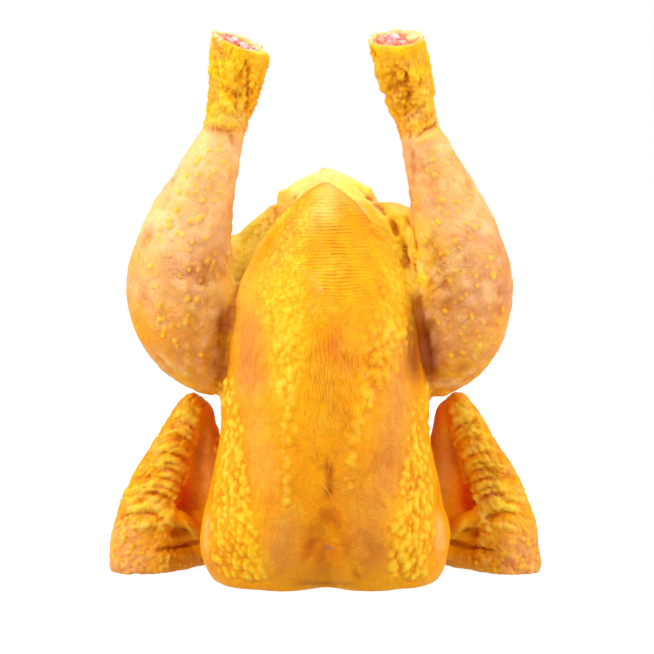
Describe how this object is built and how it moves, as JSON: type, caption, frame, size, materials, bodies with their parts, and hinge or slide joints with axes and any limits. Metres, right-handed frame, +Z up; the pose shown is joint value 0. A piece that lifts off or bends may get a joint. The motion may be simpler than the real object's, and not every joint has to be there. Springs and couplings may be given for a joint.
{
  "type": "whole raw chicken",
  "caption": "Plucked and dressed raw chicken with yellow skin, standing on its neck end with the legs up, the feet cut off at the hocks and the wings folded at its sides.",
  "frame": {"origin": "middle of the bird's box at the level it stands on", "axes": "+Z up through the legs, -Y out of the breast, +X to the right of someone who faces the breast"},
  "size_m": [0.2382, 0.118, 0.2955],
  "materials": {
    "skin": "moist yellow skin",
    "bone": "moist pink gristle"
  },
  "bodies": {
    "root": {"chicken": "skin", "shin_bone_left": "bone", "shin_bone_right": "bone"}
  },
  "joints": []
}
